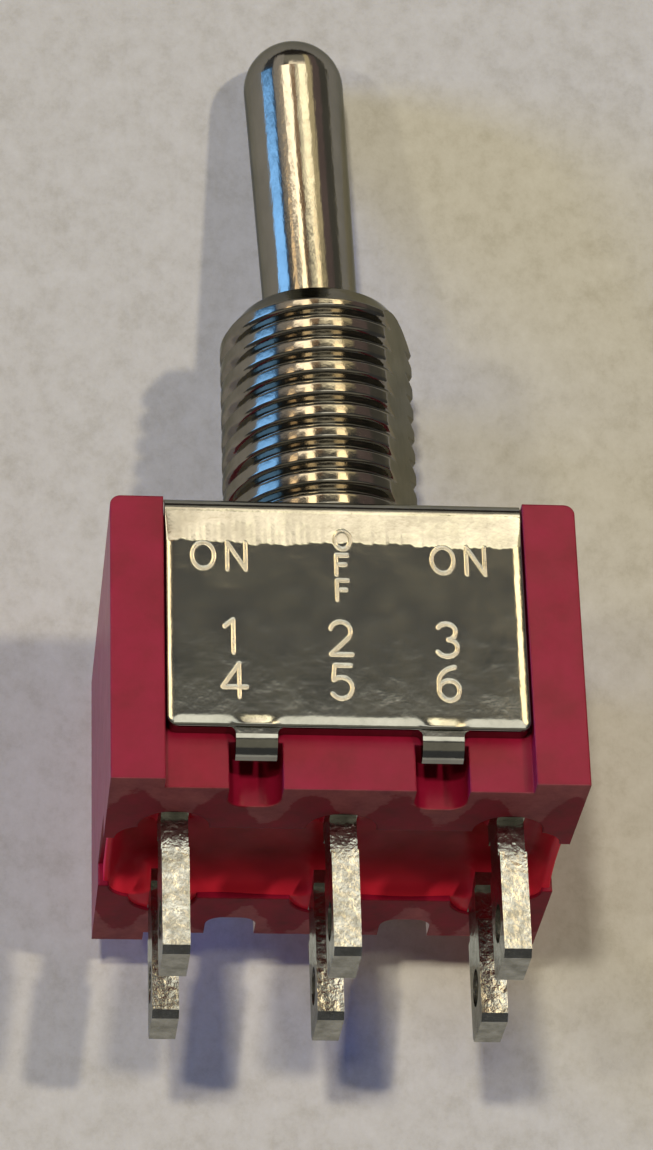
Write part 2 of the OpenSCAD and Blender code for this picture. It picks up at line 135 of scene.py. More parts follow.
def threaded_bushing(material):
    """The bushing as a closed ring: a profile (r, z) carried round the axis.

    On the outside, r = crest - depth * s(w), where w is the distance in z from the nearest crest, s rises
    from 0 to 1 over the flank, and the crest climbs one pitch a turn. A slight crown drops with w squared.
    Then r is cut to the chamfer's cone and to land / cos(angle from the land), the flat along the thread.
    """
    top = float(bushing_hi[2])
    chamfer_z = top - CHAMFER_H
    lip_r = MAJOR_R - CHAMFER_IN
    throat_z = PIVOT_Z + math.sqrt(SEAT_R**2 - THROAT_R**2)
    seat = np.linspace(math.asin((throat_z - PIVOT_Z) / SEAT_R), 0, 9)
    seat = np.stack([SEAT_R * np.cos(seat), PIVOT_Z + SEAT_R * np.sin(seat)], 1)

    outside = resample([(MAJOR_R, SHOULDER_Z), (MAJOR_R, chamfer_z)], PITCH / ROWS_A_TURN)
    # The lip's edges are rounded by a few hundredths of a millimetre.
    chamfer = resample([(MAJOR_R, chamfer_z), (lip_r + 0.02, top - 0.026)], CHAMFER_STEP)[1:]
    lip = np.array([(lip_r, top - 0.008), (lip_r - 0.025, top), (MOUTH_R + 0.05, top),
                    (MOUTH_R + 0.02, top - 0.01), (MOUTH_R - 0.004, top - 0.04)])
    inside = np.array([(BORE_R, PIVOT_Z), (BORE_R, FLARE_TOP), (BORE_R + FLARE, CLINCH_FOOT),
                       (CLINCH_R, CLINCH_FOOT), (CLINCH_R, CLINCH_TOP), (SPIGOT_R, CLINCH_TOP),
                       (SPIGOT_R, SHOULDER_Z)])
    profile = np.concatenate([outside, chamfer, lip, seat, inside])
    # Columns of points fall on the land's edges.
    crest_edge, root_edge = math.acos(LAND / MAJOR_R), math.acos(LAND / (MAJOR_R - DEPTH))
    edges = [-crest_edge, -root_edge, root_edge, crest_edge, 2 * math.pi - crest_edge]
    counts = [12, 22, 12, 234]
    angle = LAND_ANGLE + np.concatenate(
        [np.linspace(a, b, n, endpoint=False) for a, b, n in zip(edges[:-1], edges[1:], counts)])
    r = np.repeat(profile[:, :1], len(angle), 1)
    z = np.repeat(profile[:, 1:], len(angle), 1)

    n = len(outside) + len(chamfer)
    turn = (z[:n] - FIRST_GROOVE) / PITCH - (angle - THREAD_START) / (2 * np.pi)
    from_crest = np.abs((turn % 1) - 0.5) * PITCH
    fade = smooth_step((z[:n] - RUN_IN) / RUN_IN_OVER)
    fade = fade * smooth_step((chamfer_z + RUN_OUT - z[:n]) / RUN_OUT_OVER)
    # The crown goes a little way down the flank and no further.
    crown = CROWN * np.minimum(from_crest / CREST_FLAT, 1.3) ** 2
    threaded = MAJOR_R - (DEPTH * smooth_step((from_crest - CREST_FLAT) / FLANK) + crown) * fade
    # Only the side within 60 degrees of the land can be cut by it.
    turned = np.cos(angle - LAND_ANGLE)
    flat = np.where(turned > 0.5, LAND / np.maximum(turned, 0.5), FAR)
    r[:n] = np.minimum(np.minimum(threaded, r[:n]), flat)
    points = np.stack([r * np.cos(angle), r * np.sin(angle), z], -1).reshape(-1, 3)
    faces = grid_faces(len(profile), len(angle), wrap_rows=True, wrap_columns=True)[:, ::-1]
    return mesh_piece("threaded_bushing", points, faces.tolist(), material)


def arc(cx, cy, rx, ry, start, end, count=14):
    """Points on an ellipse from one angle to another, in degrees."""
    t = np.radians(np.linspace(start, end, count))
    return np.stack([cx + rx * np.cos(t), cy + ry * np.sin(t)], 1)


# Strokes of the stamped characters, on a cell 1 high with its foot at 0.
GLYPHS = {
    "O": [arc(0.38, 0.5, 0.36, 0.48, 0, 360, 28)],
    "N": [[(0.05, 0), (0.05, 1), (0.65, 0), (0.65, 1)]],
    "F": [[(0.08, 0), (0.08, 1), (0.58, 1)], [(0.08, 0.52), (0.5, 0.52)]],
    "1": [[(0.12, 0.8), (0.36, 1), (0.36, 0)]],
    "2": [np.concatenate([arc(0.35, 0.7, 0.28, 0.3, 165, -35), [(0.07, 0), (0.66, 0)]])],
    "3": [np.concatenate([arc(0.32, 0.75, 0.26, 0.25, 150, -80), arc(0.32, 0.26, 0.3, 0.26, 80, -150)])],
    "4": [[(0.5, 0), (0.5, 1), (0.04, 0.3), (0.7, 0.3)]],
    "5": [np.concatenate([[(0.6, 1), (0.16, 1), (0.12, 0.56)], arc(0.33, 0.32, 0.3, 0.32, 130, -145)])],
    "6": [np.concatenate([arc(0.6, 0.55, 0.54, 0.46, 100, 180, 10),
                          arc(0.34, 0.3, 0.28, 0.3, 180, -180, 24)])],
}

# Half a stroke's width, its flat floor's half width, and its depth, in millimetres.
STROKE_HALF, STROKE_FLOOR, STROKE_DEPTH = 0.055, 0.015, 0.010
# The two rows of numbers: left edge and foot of the first, the steps across and down, and the height.
NUMBER_X, NUMBER_Z = -3.55, -5.02
NUMBER_STEP, NUMBER_DROP, NUMBER_HEIGHT = 3.0, 1.36, 1.02
# A stroke is looked for no further off than this, in millimetres.
STROKE_REACH = 0.3


def stamped_strokes():
    """Centre lines of all the characters on the face, as (x, z) polylines in millimetres."""
    rows = [
        # text, x of the left edge, z of the foot, height, advance, vertical step
        ("ON", -4.32, -2.42, 0.86, 0.96, 0),
        ("OFF", -0.30, -1.72, 0.62, 0, -0.80),
        ("ON", 2.44, -2.42, 0.86, 0.96, 0),
    ]
    for k, text in enumerate(("1 2 3", "4 5 6")):
        for i, letter in enumerate(text.split()):
            rows.append((letter, NUMBER_X + NUMBER_STEP * i, NUMBER_Z - NUMBER_DROP * k, NUMBER_HEIGHT, 0, 0))
    strokes = []
    for text, x, z, height, advance, drop in rows:
        for i, letter in enumerate(text):
            for line in GLYPHS[letter]:
                line = np.array(line, float) * height
                strokes.append(line + [x + advance * i, z + drop * i])
    return strokes


def distance_to_strokes(x, z, strokes):
    """Smallest distance from each point to any segment of the strokes."""
    best = np.full(x.shape, FAR)
    for line in strokes:
        lo, hi = line.min(0) - STROKE_REACH, line.max(0) + STROKE_REACH
        near = (x > lo[0]) & (x < hi[0]) & (z > lo[1]) & (z < hi[1])
        px, pz = x[near], z[near]
        if not px.size:
            continue
        found = best[near]
        for a, b in zip(line[:-1], line[1:]):
            d = b - a
            t = np.clip(((px - a[0]) * d[0] + (pz - a[1]) * d[1]) / max(d @ d, 1e-9), 0, 1)
            found = np.minimum(found, np.hypot(px - a[0] - t * d[0], pz - a[1] - t * d[1]))
        best[near] = found
    return best


def closed_sheet(name, front, back_rim, material):
    """A sheet of (rows, columns, 3) points, with a wall down to a rim behind it and a ladder of faces there.

    The first and last faces of the ladder hold the whole first and last rows of the rim. Each rung between
    them runs straight from the rim's one side to the other.
    """
    rows, columns = front.shape[:2]
    count = rows * columns
    # The sheet's border in order: first row, right side, last row backwards, left side backwards.
    order = np.concatenate([np.arange(columns), np.arange(1, rows - 1) * columns + columns - 1,
                            (rows - 1) * columns + np.arange(columns)[::-1],
                            (np.arange(1, rows - 1) * columns)[::-1]])
    points = np.concatenate([front.reshape(-1, 3), back_rim.reshape(-1, 3)[order]])
    here = np.arange(len(order))
    after = np.roll(here, -1)
    wall = np.stack([order, count + here, count + after, order[after]], 1)
    right = columns + np.arange(rows - 2)
    left = len(order) - 1 - np.arange(rows - 2)
    first = np.concatenate([left[:1], right[:1], np.arange(columns)[::-1]])
    rungs = np.stack([left[1:], right[1:], right[:-1], left[:-1]], 1)
    last_row = np.arange(columns + rows - 2, 2 * columns + rows - 2)
    last = np.concatenate([last_row[::-1], right[-1:], left[-1:]])
    ladder = [(count + first).tolist()] + (count + rungs).tolist() + [(count + last).tolist()]
    faces = grid_faces(rows, columns)[:, ::-1].tolist() + wall.tolist() + ladder
    return mesh_piece(name, points, faces, material)


# Where the lugs stand.
LUG_X, LUG_Y = (-4.7, 0.0, 4.7), (-2.4, 2.4)

# Skin of the front flange, in millimetres: its foot, how far it clears the sheet and stands out, its band.
FLANGE_FOOT = -7.25
SKIN_GAP, SKIN_PROUD = 0.006, 0.078
BAND_FOOT, BAND_TOP = -1.55, -0.52
# The bend at its top, the corners at its foot, and the tabs below it.
BEND_R = 0.5
FOOT_R = 0.3
TAB_X, TAB_REACH = 2.58, 0.62
# Border of the skin: a slow roll this wide, the round at its very edge, the share of each, and their drop.
ROLL_W, EDGE_R = 0.34, 0.06
ROLL_SHARE, EDGE_SHARE = 0.55, 0.45
EDGE_DROP = 0.07
# How much of the roll is gone over a tab, and the swell there: its height, where it starts, how slowly.
ROLL_LOST = 0.9
SWELL_H, SWELL_TOP, SWELL_OVER = 0.045, -6.85, 0.6
# Height of the sheet's faint waves, and how far behind its front the rim lies.
RIPPLE, RIM_BEHIND = 0.0012, 0.05
# A stroke is bare out to this distance from its centre line, and plated again this much further out.
BARE_HALF, BARE_FADE = 0.03, 0.03


def stamped_face(material):
    """Skin of the front flange, as a sheet of points carried up the flange and over its bend.

    Up the flange y = face - proud * p + drop * e * p + valley - swell * (1 - e). p is 1 below the band and
    falls in a straight line to 0 at its top, where the sheet starts to bend; from there it is a quarter
    circle. e is 1 at the border: part of it falls inwards as (1 - distance / width)^2, the roll, and part as
    a quarter round. Over the tabs the roll is nearly gone and the sheet swells out. A stamped stroke's
    valley is a smooth step of the distance to its centre line.
    """
    half = float(frame_hi[0])
    face_y = float(frame_lo[1])
    columns, bend_rows = 400, 16
    u = np.linspace(-1, 1, columns)
    # Rows stand closest where the characters are.
    z = np.concatenate([np.linspace(FLANGE_FOOT, -6.5, 20, endpoint=False),
                        np.linspace(-6.5, -1.3, 172, endpoint=False),
                        np.linspace(-1.3, -BEND_R, 26)])[:, None] + 0 * u
    rise = np.clip(FOOT_R - (z - FLANGE_FOOT), 0, FOOT_R)
    width = half - (FOOT_R - np.sqrt(np.maximum(FOOT_R**2 - rise**2, 0)))
    x = u * width
    border = np.minimum(width - np.abs(x), z - FLANGE_FOOT)
    over_tabs = np.exp(-((x + TAB_X) / TAB_REACH) ** 4) + np.exp(-((x - TAB_X) / TAB_REACH) ** 4)
    roll = (1 - np.clip(border / ROLL_W, 0, 1)) ** 2 * (1 - ROLL_LOST * over_tabs)
    quarter_round = 1 - np.sqrt(1 - (1 - np.clip(border / EDGE_R, 0, 1)) ** 2)
    edge = ROLL_SHARE * roll + EDGE_SHARE * quarter_round
    # The band's foot wanders by up to a tenth of a millimetre.
    ragged = (0.05 * np.sin(1.1 * x + 0.9) + 0.03 * np.sin(5.3 * x + np.sin(2.7 * x))
              + 0.02 * np.sin(13.7 * x + 1.9) + 0.012 * np.sin(31.0 * x))
    band = np.clip((BAND_TOP - z) / (BAND_TOP - BAND_FOOT - ragged), 0, 1)
    d = distance_to_strokes(x, z, stamped_strokes())
    stroke = 1 - smooth_step((d - STROKE_FLOOR) / (STROKE_HALF - STROKE_FLOOR))
    valley = STROKE_DEPTH * stroke
    ripple = RIPPLE * np.sin(3.1 * x + 1.3 * z) * np.sin(2.3 * z - 0.8 * x)
    # Clinching the tabs pushed the sheet out a little over each of them.
    swell = SWELL_H * smooth_step((SWELL_TOP - z) / SWELL_OVER) * over_tabs
    y = face_y - SKIN_GAP - SKIN_PROUD * band + EDGE_DROP * edge * band + valley + ripple - swell * (1 - edge)
    flat = np.stack([x, y, z], -1)
    turn = np.linspace(0, math.pi / 2, bend_rows + 1)[1:, None] + 0 * u
    # Round the bend the skin comes a little closer to the sheet.
    radius = BEND_R + SKIN_GAP - 0.003 * turn
    bend = np.stack([np.repeat(x[-1:], bend_rows, 0), face_y + BEND_R - radius * np.cos(turn),
                     -BEND_R + radius * np.sin(turn)], -1)
    front = np.concatenate([flat, bend])
    rim = front.copy()
    rim[: len(flat), :, 1] = face_y + RIM_BEHIND
    rim[len(flat):, :, 1] = face_y + BEND_R - (BEND_R - RIM_BEHIND) * np.cos(turn)
    rim[len(flat):, :, 2] = -BEND_R + (BEND_R - RIM_BEHIND) * np.sin(turn)
    piece = closed_sheet("stamped_face", front, rim, material)
    mask = np.zeros(len(piece.data.vertices))
    # The plating is lost unevenly along the strokes.
    uneven = 0.62 + 0.38 * np.sin(9.0 * x + 3.0 * np.sin(4.0 * z)) * np.sin(7.0 * z + 1.0)
    mask[: stroke.size] = ((1 - smooth_step((d - BARE_HALF) / BARE_FADE)) * uneven).reshape(-1)
    piece.data.attributes.new("stamped", "FLOAT", "POINT").data.foreach_set("value", mask)
    return piece


# How high the resin climbs and over what distance, in millimetres: at a lug, front wall, rear wall and end.
LUG_CLIMB, FRONT_CLIMB, REAR_CLIMB, END_CLIMB = (0.30, 0.16), (0.16, 0.25), (0.80, 0.85), (0.50, 0.35)
MOST_CLIMB = 0.86
# Half a lug's thickness and width, and where the trough's walls and ends stand.
LUG_HALF = (0.38, 1.0)
WALL_Y, END_X = 2.5, 6.3
# The surface runs on into the case's walls, from end to end and from the rear to the front.
SURFACE_X, SURFACE_Y = (-6.45, 6.52), (3.5, -3.5)
RESIN_RIM = 0.02


def climbing(distance, climb):
    """Height of a liquid at a distance from what it wets: height * exp(-distance / reach)."""
    height, reach = climb
    return height * np.exp(-np.maximum(distance, 0) / reach)


def potting(material):
    """Surface of the cast resin over the terminals, with its sides hidden in the case.

    z = level - climb, where climb is the sum over lugs and walls of height * exp(-distance / reach), as a
    liquid climbs what it wets. Against the rear wall and the ends it climbs nearly to the rim.
    """
    level = float(epoxy_lo[2])
    columns, rows = 270, 130
    x = np.linspace(*SURFACE_X, columns)[None, :] + np.zeros((rows, 1))
    y = np.linspace(*SURFACE_Y, rows)[:, None] + np.zeros((1, columns))
    # The pool itself is slightly wavy.
    climb = 0.03 * np.sin(x * 1.7 + 0.6) * np.cos(y * 1.3)
    for lug_x in LUG_X:
        for lug_y in LUG_Y:
            dx = np.maximum(np.abs(x - lug_x) - LUG_HALF[0], 0)
            dy = np.maximum(np.abs(y - lug_y) - LUG_HALF[1], 0)
            climb = climb + climbing(np.hypot(dx, dy), LUG_CLIMB)
    climb = climb + climbing(WALL_Y + y, FRONT_CLIMB)
    climb = climb + climbing(WALL_Y - y, REAR_CLIMB)
    climb = climb + climbing(END_X - np.abs(x), END_CLIMB)
    z = level - np.minimum(climb, MOST_CLIMB)
    rim = np.stack([x, y, np.full_like(z, float(epoxy_hi[2]) - RESIN_RIM)], -1)
    return closed_sheet("potting_resin", np.stack([x, y, z], -1), rim, material)


# The plungers' springs: wire thickness, turns, and how much wider the middle coils stand than the average.
WIRE, TURNS, OPENNESS = 0.16, 5, 0.3
STEPS_A_TURN, WIRE_SIDES = 40, 14
LEVER_LEAN = math.radians(-2.4)


def coil_spring(name, node, material):
    """A coil spring in place of the CAD one, and the middles of its two ends, upper first.

    A round wire is carried along a helix about the leaning lever's axis. Its height along the axis is
    length * (t - openness * sin(2 pi t) / (2 pi)), so the coils stand closer at both ends.
    """
    lo, hi = in_mm(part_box(node))
    outer = (hi[1] - lo[1]) / 2
    along = np.array([math.sin(LEVER_LEAN), 0, math.cos(LEVER_LEAN)])
    across = np.array([math.cos(LEVER_LEAN), 0, -math.sin(LEVER_LEAN)])
    length = (hi[2] - lo[2] - 2 * outer * abs(math.sin(LEVER_LEAN))) / math.cos(LEVER_LEAN)
    steps = STEPS_A_TURN * TURNS + 1
    t = np.linspace(0, 1, steps)[:, None]
    round_wire = np.linspace(0, 2 * math.pi, WIRE_SIDES, endpoint=False)[None, :]
    height = (length - WIRE) * (t - OPENNESS * np.sin(2 * math.pi * t) / (2 * math.pi) - 0.5)
    height = height + WIRE / 2 * np.sin(round_wire)
    r = outer - WIRE / 2 + WIRE / 2 * np.cos(round_wire)
    x, y = r * np.cos(2 * math.pi * TURNS * t), r * np.sin(2 * math.pi * TURNS * t)
    middle = (lo + hi) / 2
    points = middle + x[..., None] * across + y[..., None] * np.array([0, 1, 0]) + height[..., None] * along
    faces = grid_faces(steps, WIRE_SIDES, wrap_columns=True).tolist()
    faces += [list(range(WIRE_SIDES)), list(range((steps - 1) * WIRE_SIDES, steps * WIRE_SIDES))[::-1]]
    piece = mesh_piece(name, points.reshape(-1, 3), faces, material)
    return piece, middle + along * length / 2, middle - along * length / 2


# ---------------------------------------------------------------- materials


def paint(hex_colour):
    """Linear RGBA of an sRGB hex colour."""
    c = np.array([int(hex_colour[i:i + 2], 16) for i in (1, 3, 5)]) / 255
    c = np.where(c <= 0.04045, c / 12.92, ((c + 0.055) / 1.055) ** 2.4)
    return (*c.tolist(), 1.0)


def add(tree, kind, settings=(), values=(), links=(), stops=()):
    """Adds one node: its settings, the constants on its sockets, the links into them, and a ramp's stops."""
    made = tree.nodes.new("ShaderNode" + kind)
    for key, value in dict(settings).items():
        setattr(made, key, value)
    for key, value in dict(values).items():
        made.inputs[key].default_value = value
    for key, source in dict(links).items():
        tree.links.new(source, made.inputs[key])
    if stops:
        ramp = made.color_ramp.elements
        while len(ramp) < len(stops):
            ramp.new(0.5)
        for element, (place, colour) in zip(ramp, stops):
            element.position = place
            element.color = colour
    return made


def new_material(name):
    """An empty material and its tree."""
    made = bpy.data.materials.new(name)
    made.use_nodes = True
    made.node_tree.nodes.clear()
    return made, made.node_tree


def per_mm(size):
    """Noise scale that gives features of this size in millimetres on Object coordinates in metres."""
    return 1 / (size * MM)


# Heights between which the case's ground underside gives way to its moulded walls, in millimetres.
GROUND_FROM, GROUND_TO = -8.89, -8.86
# The scalloped line where wetting stops: its wave along X, where that starts, its swing, how ragged it is.
SCALLOP, SCALLOP_START, SWING, RAGGED = 2.45, 0.9, 1.0, 2.2
SHORE_FROM, SHORE_TO = 4.95, 5.15


def moulded_red():
    """Glass-filled red thermoset, moulded: satin and faintly mottled, with softened edges.

    The underside was ground: it is matt, and paler and browner in patches, partly painted light reflected up
    from the paper; it is deep red where resin wetted it, out to a scalloped line |y| = middle + swing *
    sin(x) round the trough.
    """
    made, t = new_material("moulded_red_thermoset")
    where = add(t, "TexCoord").outputs["Object"]
    mottle = add(t, "TexNoise", values={"Scale": per_mm(1.2), "Detail": 6.0, "Roughness": 0.65},
                 links={"Vector": where})
    colour = add(t, "ValToRGB", links={"Fac": mottle.outputs["Fac"]},
                 stops=[(0.3, paint("#7c0f26")), (0.7, paint("#941737"))])
    axes = add(t, "SeparateXYZ", links={"Vector": where})
    rim = add(t, "MapRange",
              values={"From Min": GROUND_FROM * MM, "From Max": GROUND_TO * MM, "To Min": 1.0, "To Max": 0.0},
              links={"Value": axes.outputs["Z"]})
    grind = add(t, "TexNoise", values={"Scale": per_mm(0.7), "Detail": 6.0, "Roughness": 0.7},
                links={"Vector": where})
    # Paler, browner underside: partly matt ground plastic, partly painted light reflected up from the paper.
    ground_and_bounce_colour = add(t, "ValToRGB", links={"Fac": grind.outputs["Fac"]},
                 stops=[(0.3, paint("#843640")), (0.7, paint("#ae5e62"))])
    wetted = add(t, "ValToRGB", links={"Fac": grind.outputs["Fac"]},
                 stops=[(0.3, paint("#741020")), (0.7, paint("#981c34"))])
    turn = add(t, "Math", settings={"operation": "MULTIPLY_ADD"},
               values={1: 2 * math.pi / (SCALLOP * MM), 2: SCALLOP_START}, links={0: axes.outputs["X"]})
    swing = add(t, "Math", settings={"operation": "SINE"}, links={0: turn.outputs[0]})
    side = add(t, "Math", settings={"operation": "ABSOLUTE"}, links={0: axes.outputs["Y"]})
    shore = add(t, "Math", settings={"operation": "MULTIPLY_ADD"}, values={1: SWING * MM}, links={
        0: swing.outputs[0], 2: side.outputs[0]})
    rough_shore = add(t, "Math", settings={"operation": "MULTIPLY_ADD"}, values={1: RAGGED * MM}, links={
        0: mottle.outputs["Fac"], 2: shore.outputs[0]})
    dry = add(t, "MapRange", values={"From Min": SHORE_FROM * MM, "From Max": SHORE_TO * MM}, links={
        "Value": rough_shore.outputs[0]})
    under = add(t, "Mix", settings={"data_type": "RGBA"}, links={
        0: dry.outputs["Result"], 6: wetted.outputs["Color"], 7: ground_and_bounce_colour.outputs["Color"]})
    mixed = add(t, "Mix", settings={"data_type": "RGBA"}, links={
        0: rim.outputs["Result"], 6: colour.outputs["Color"], 7: under.outputs[2]})
    grain = add(t, "TexNoise", values={"Scale": per_mm(0.18), "Detail": 4.0}, links={"Vector": where})
    soft_edge = add(t, "Bevel", settings={"samples": 6}, values={"Radius": 0.09 * MM})
    bump = add(t, "Bump", values={"Strength": 0.2, "Distance": 0.02 * MM}, links={
        "Height": grain.outputs["Fac"], "Normal": soft_edge.outputs["Normal"]})
    satin = add(t, "MapRange", values={"To Min": 0.28, "To Max": 0.46}, links={"Value": grind.outputs["Fac"]})
    matt = add(t, "Math", settings={"operation": "MULTIPLY_ADD"}, values={1: 0.35}, links={
        0: rim.outputs["Result"], 2: satin.outputs["Result"]})
    shader = add(t, "BsdfPrincipled", values={"IOR": 1.5, "Specular IOR Level": 0.36}, links={
        "Base Color": mixed.outputs[2], "Roughness": matt.outputs[0], "Normal": bump.outputs["Normal"]})
    add(t, "OutputMaterial", links={"Surface": shader.outputs["BSDF"]})
    return made


# How far over the resin's level the painted highlight on its walls starts, and where it is brightest, in
# millimetres.
LIT_WALL_FROM, LIT_WALL_TO = 0.12, 0.55


def cast_resin():
    """Red-tinted epoxy, poured and cured: a smooth film over a deep colour, a little cloudy.

    High on the walls its colour is painted brighter: a painted highlight where the walls face the light.
    """
    made, t = new_material("cast_red_epoxy")
    where = add(t, "TexCoord").outputs["Object"]
    cloud = add(t, "TexNoise", values={"Scale": per_mm(1.2), "Detail": 4.0}, links={"Vector": where})
    colour = add(t, "ValToRGB", links={"Fac": cloud.outputs["Fac"]},
                 stops=[(0.3, paint("#860c18")), (0.7, paint("#ac1c2c"))])
    axes = add(t, "SeparateXYZ", links={"Vector": where})
    level = float(epoxy_lo[2])
    # Painted highlight: the colour rises to a bright red high on the walls, standing in for the light falling
    # on them.
    lit_wall = add(t, "MapRange",
               values={"From Min": (level - LIT_WALL_FROM) * MM, "From Max": (level - LIT_WALL_TO) * MM},
               links={"Value": axes.outputs["Z"]})
    lit_wall_colour = add(t, "Mix", settings={"data_type": "RGBA"}, values={7: paint("#ee3048")}, links={
        0: lit_wall.outputs["Result"], 6: colour.outputs["Color"]})
    ripple = add(t, "TexNoise", values={"Scale": per_mm(0.9), "Detail": 2.0}, links={"Vector": where})
    bump = add(t, "Bump", values={"Strength": 0.4, "Distance": 0.05 * MM},
               links={"Height": ripple.outputs["Fac"]})
    shader = add(t, "BsdfPrincipled", values={"IOR": 1.4, "Roughness": 0.16, "Specular IOR Level": 0.06},
                 links={"Base Color": lit_wall_colour.outputs[2], "Normal": bump.outputs["Normal"]})
    add(t, "OutputMaterial", links={"Surface": shader.outputs["BSDF"]})
    return made


# Roughness of a bare stroke, and how much rougher the plating's dark tone is than its light one.
BARE_ROUGHNESS, DARK_ROUGHER = 0.45, 1.5
MICROMETRE = 0.001 * MM


def plated_metal(name, light, dark, roughness, lump, drawn, blotch, wave):
    """A plated metal: its colour clouded between two tones, duller where dark, with a skin of low lumps.

    lump and blotch are sizes in millimetres, drawn is how much longer the lumps are along Z, and wave is the
    height of the lumps in micrometres.
    """
    made, t = new_material(name)
    where = add(t, "TexCoord").outputs["Object"]
    cloud = add(t, "TexNoise", values={"Scale": per_mm(blotch), "Detail": 6.0, "Roughness": 0.65},
                links={"Vector": where})
    colour = add(t, "ValToRGB", links={"Fac": cloud.outputs["Fac"]},
                 stops=[(0.35, paint(dark)), (0.65, paint(light))])
    rough = add(t, "MapRange", values={"From Min": 0.3, "From Max": 0.7, "To Min": roughness * DARK_ROUGHER,
                                       "To Max": roughness}, links={"Value": cloud.outputs["Fac"]})
    # A stamped stroke is matt and bare, and shows pale.
    stamped = add(t, "Attribute", settings={"attribute_name": "stamped"}).outputs["Fac"]
    dull = add(t, "Mix", settings={"data_type": "FLOAT"}, values={3: BARE_ROUGHNESS},
               links={0: stamped, 2: rough.outputs["Result"]})
    pale = add(t, "Mix", settings={"data_type": "RGBA"}, values={7: paint("#bab7ac")},
               links={0: stamped, 6: colour.outputs["Color"]})
    along = add(t, "Mapping", values={"Scale": (1.0, 1.0, 1.0 / drawn)}, links={"Vector": where})
    skin = add(t, "TexNoise", values={"Scale": per_mm(lump), "Detail": 3.0, "Roughness": 0.55},
               links={"Vector": along.outputs["Vector"]})
    bump = add(t, "Bump", values={"Strength": 1.0, "Distance": wave * MICROMETRE},
               links={"Height": skin.outputs["Fac"]})
    shader = add(t, "BsdfPrincipled", values={"Metallic": 1.0, "Specular Tint": paint("#bcbeb8")}, links={
        "Base Color": pale.outputs[2], "Roughness": dull.outputs[0], "Normal": bump.outputs["Normal"]})
    add(t, "OutputMaterial", links={"Surface": shader.outputs["BSDF"]})
    return made


def moulded_plastic(name, light, dark):
    """An unpainted nylon moulding: waxy, slightly cloudy."""
    made, t = new_material(name)
    where = add(t, "TexCoord").outputs["Object"]
    cloud = add(t, "TexNoise", values={"Scale": per_mm(0.8), "Detail": 4.0}, links={"Vector": where})
    colour = add(t, "ValToRGB", links={"Fac": cloud.outputs["Fac"]},
                 stops=[(0.3, paint(dark)), (0.7, paint(light))])
    bump = add(t, "Bump", values={"Strength": 0.15, "Distance": 0.02 * MM},
               links={"Height": cloud.outputs["Fac"]})
    shader = add(t, "BsdfPrincipled", values={"IOR": 1.53, "Roughness": 0.42, "Subsurface Weight": 0.1,
                                              "Subsurface Scale": 0.5 * MM},
                 links={"Base Color": colour.outputs["Color"], "Normal": bump.outputs["Normal"]})
    add(t, "OutputMaterial", links={"Surface": shader.outputs["BSDF"]})
    return made


case_finish = moulded_red()
resin_finish = cast_resin()
# Nickel-plated steel sheet, rolled and stamped: a dark mirror with a faint orange peel.
frame_finish = plated_metal("stamped_nickel_steel", "#a1a19a", "#8f8f88", 0.09, 0.55, 1.0, 1.1, 6.5)
# Nickel over turned brass: a mirror dulled a little by handling, so the crests catch warm streaks of light.
bushing_finish = plated_metal("nickel_plated_thread", "#969289", "#827f76", 0.09, 0.25, 1.0, 0.9, 4.0)
# Nickel over a drawn bat: lumps drawn out along it, so what it mirrors runs in long wavering stripes.
lever_finish = plated_metal("bright_nickel_bat", "#9c9990", "#8e8c84", 0.09, 0.14, 3.5, 2.5, 5.0)
# Hot-dipped tin over brass strip: bright, lumpy, dull in the hollows.
lug_finish = plated_metal("tinned_brass_strip", "#c4c4be", "#9a9a93", 0.18, 0.30, 1.0, 0.5, 38.0)
# Bare brass strip: a yellow, soft shine with slight tarnish.
strip_finish = plated_metal("bare_brass_strip", "#c9a45c", "#a98643", 0.20, 0.30, 1.0, 1.0, 4.0)
# Drawn steel wire: grey, with a tight shine along each coil.
spring_finish = plated_metal("drawn_spring_wire", "#a8a8a8", "#7c7c7c", 0.20, 0.20, 1.0, 0.6, 3.0)
# Fine silver: the palest metal here, soft and slightly clouded.
silver_finish = plated_metal("fine_silver_contact", "#dcdcd6", "#bdbdb5", 0.18, 0.20, 1.0, 0.5, 3.0)
# Natural nylon: cream, waxy and a little translucent at its edges; the plungers' grade is whiter.
nylon_finish = moulded_plastic("natural_nylon_carrier", "#e6e0cc", "#d6cfb8")
plunger_nylon_finish = moulded_plastic("white_nylon_plunger", "#f0eee6", "#e2dfd4")

finishes = {
    "case": case_finish, "epoxy_seal": resin_finish, "frame": frame_finish, "bushing": bushing_finish,
    "lever": lever_finish, "carrier": nylon_finish,
    "plunger_front": plunger_nylon_finish, "plunger_rear": plunger_nylon_finish,
    "plunger_spring_front": spring_finish, "plunger_spring_rear": spring_finish,
    "rocker_front": strip_finish, "rocker_rear": strip_finish,
}
for name, node in nodes.items():
    chosen = finishes.get(name)
    if chosen is None:
        chosen = silver_finish if name.startswith("contact") else lug_finish
    for slot in node.material_slots:
        slot.material = chosen

# ---------------------------------------------------------------- pieces

thread = threaded_bushing(bushing_finish)
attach(thread, "housing")
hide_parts("bushing")

face = stamped_face(frame_finish)
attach(face, "housing")

resin = potting(resin_finish)
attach(resin, "housing")
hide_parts("epoxy_seal")

# Coil springs in place of the CAD ones, fixed where they stand; the middles of their ends are not used here.
for row in ("front", "rear"):
    spring, upper, lower = coil_spring("plunger_coil_" + row, "plunger_spring_" + row, spring_finish)
    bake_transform(spring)
    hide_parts("plunger_spring_" + row)

# ---------------------------------------------------------------- stage, light and camera


def direction(azimuth, elevation):
    """Unit vector: azimuth turns from +X towards +Y, elevation rises towards +Z, in degrees."""
    a, e = math.radians(azimuth), math.radians(elevation)
    return Vector((math.cos(a) * math.cos(e), math.sin(a) * math.cos(e), math.sin(e)))


